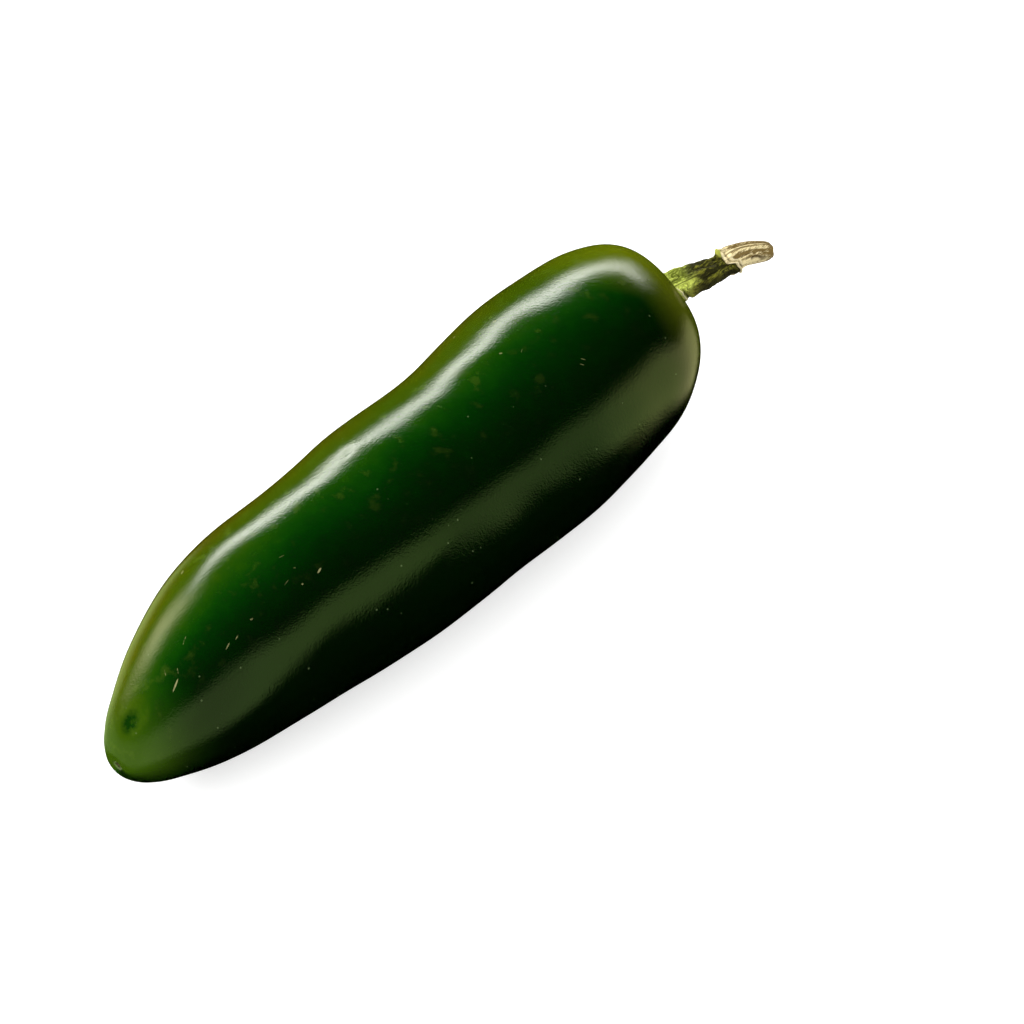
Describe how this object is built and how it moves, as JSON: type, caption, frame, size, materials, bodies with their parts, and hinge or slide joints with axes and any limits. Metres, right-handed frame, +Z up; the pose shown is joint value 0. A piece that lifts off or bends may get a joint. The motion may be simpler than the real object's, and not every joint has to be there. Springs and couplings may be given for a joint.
{
  "type": "chilli pepper",
  "caption": "Long green chilli pepper with smooth glossy skin, softly lobed shoulders and a short ribbed stem, lying on its belly.",
  "frame": {"origin": "on the surface that the pepper rests on, under the middle of its bounding box", "axes": "+X from the blossom tip towards the stem, +Z up"},
  "size_m": [0.1254, 0.0326, 0.0312],
  "materials": {
    "skin": "smooth waxy dark green skin, high gloss",
    "stalk": "matt, ribbed and wrinkled, olive green to dry tan"
  },
  "bodies": {
    "root": {"pod": "skin", "stem": "stalk"}
  },
  "joints": []
}
